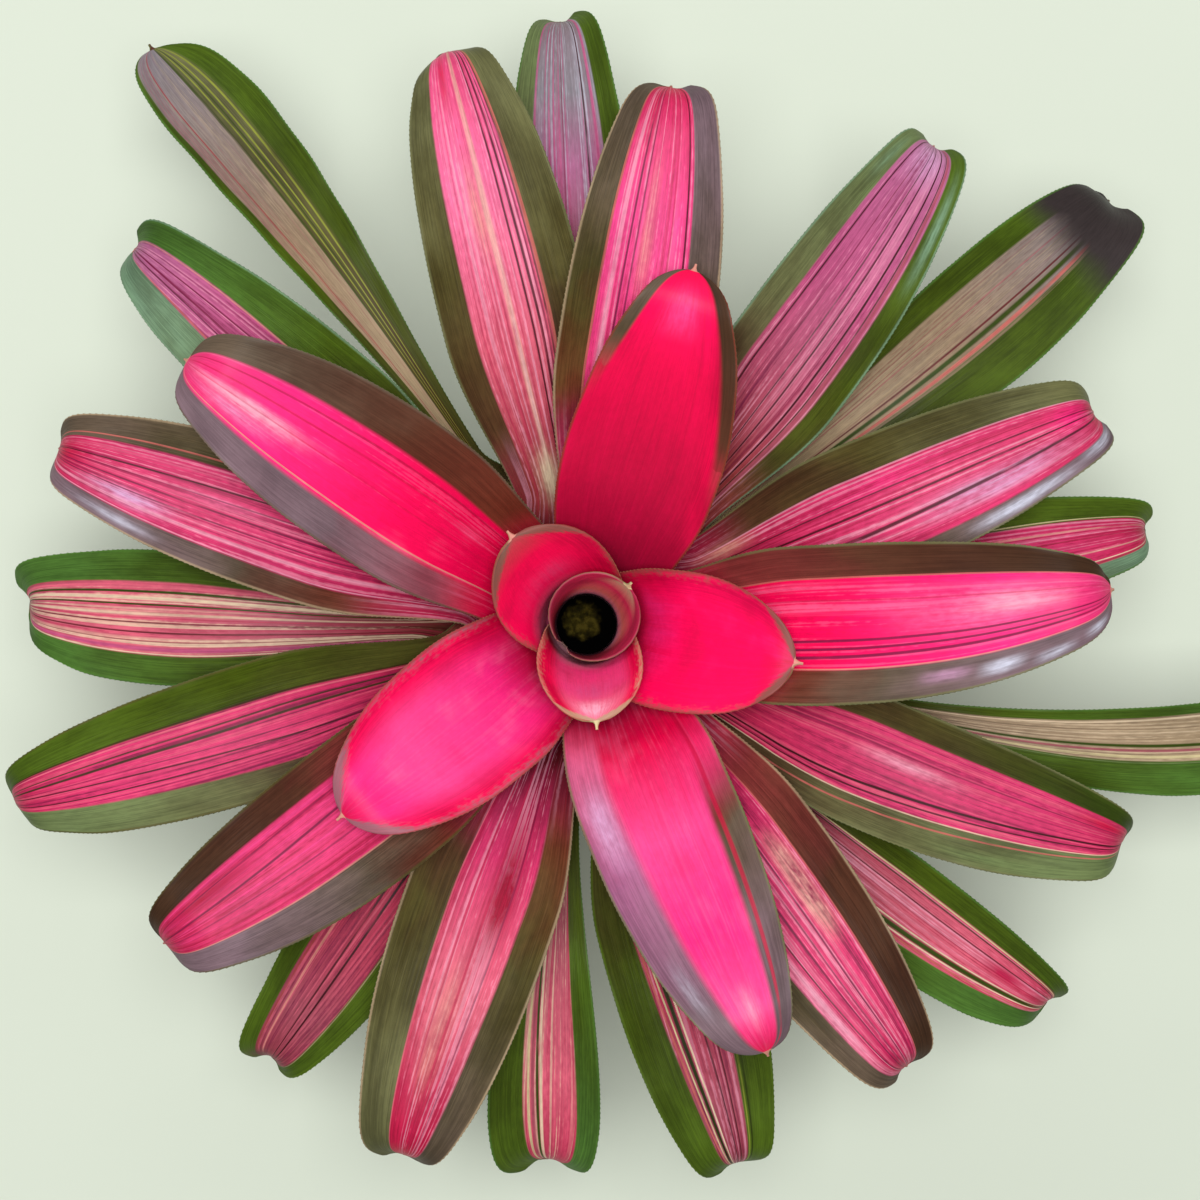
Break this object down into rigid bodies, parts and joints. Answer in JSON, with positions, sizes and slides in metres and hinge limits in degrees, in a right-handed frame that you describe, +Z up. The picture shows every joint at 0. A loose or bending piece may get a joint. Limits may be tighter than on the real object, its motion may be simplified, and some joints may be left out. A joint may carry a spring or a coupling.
{
  "type": "potted bromeliad",
  "caption": "Rosette plant with striped strap leaves round a rolled water tank, on a short stem in a round pot of mix.",
  "frame": {"origin": "centre of the pot's base, on the surface that it stands on", "axes": "+Z up along the stem; +X and +Y across the rosette, with no front"},
  "size_m": [0.4941, 0.4411, 0.2431],
  "materials": {
    "young_leaf": "semi-gloss",
    "middle_leaf": "semi-gloss",
    "old_leaf": "semi-gloss",
    "stem": "matt",
    "potting_mix": "rough",
    "pot": "satin",
    "tank_water": "wet"
  },
  "bodies": {
    "root": {"pot": "pot", "potting_mix": "potting_mix", "stem": "stem", "tank_water": "tank_water", "leaf_01": "young_leaf", "leaf_02": "young_leaf", "leaf_03": "young_leaf", "leaf_04": "young_leaf", "leaf_05": "young_leaf", "leaf_06": "young_leaf", "leaf_07": "young_leaf", "leaf_08": "middle_leaf", "leaf_09": "middle_leaf", "leaf_10": "middle_leaf", "leaf_11": "middle_leaf", "leaf_12": "middle_leaf", "leaf_13": "middle_leaf", "leaf_14": "middle_leaf", "leaf_15": "middle_leaf", "leaf_16": "middle_leaf", "leaf_17": "old_leaf", "leaf_18": "old_leaf", "leaf_19": "old_leaf", "leaf_20": "old_leaf", "leaf_21": "old_leaf", "leaf_22": "old_leaf", "leaf_23": "old_leaf", "leaf_24": "old_leaf", "leaf_25": "old_leaf", "leaf_26": "old_leaf", "leaf_27": "old_leaf", "leaf_28": "old_leaf", "leaf_29": "old_leaf", "leaf_30": "old_leaf"}
  },
  "joints": []
}
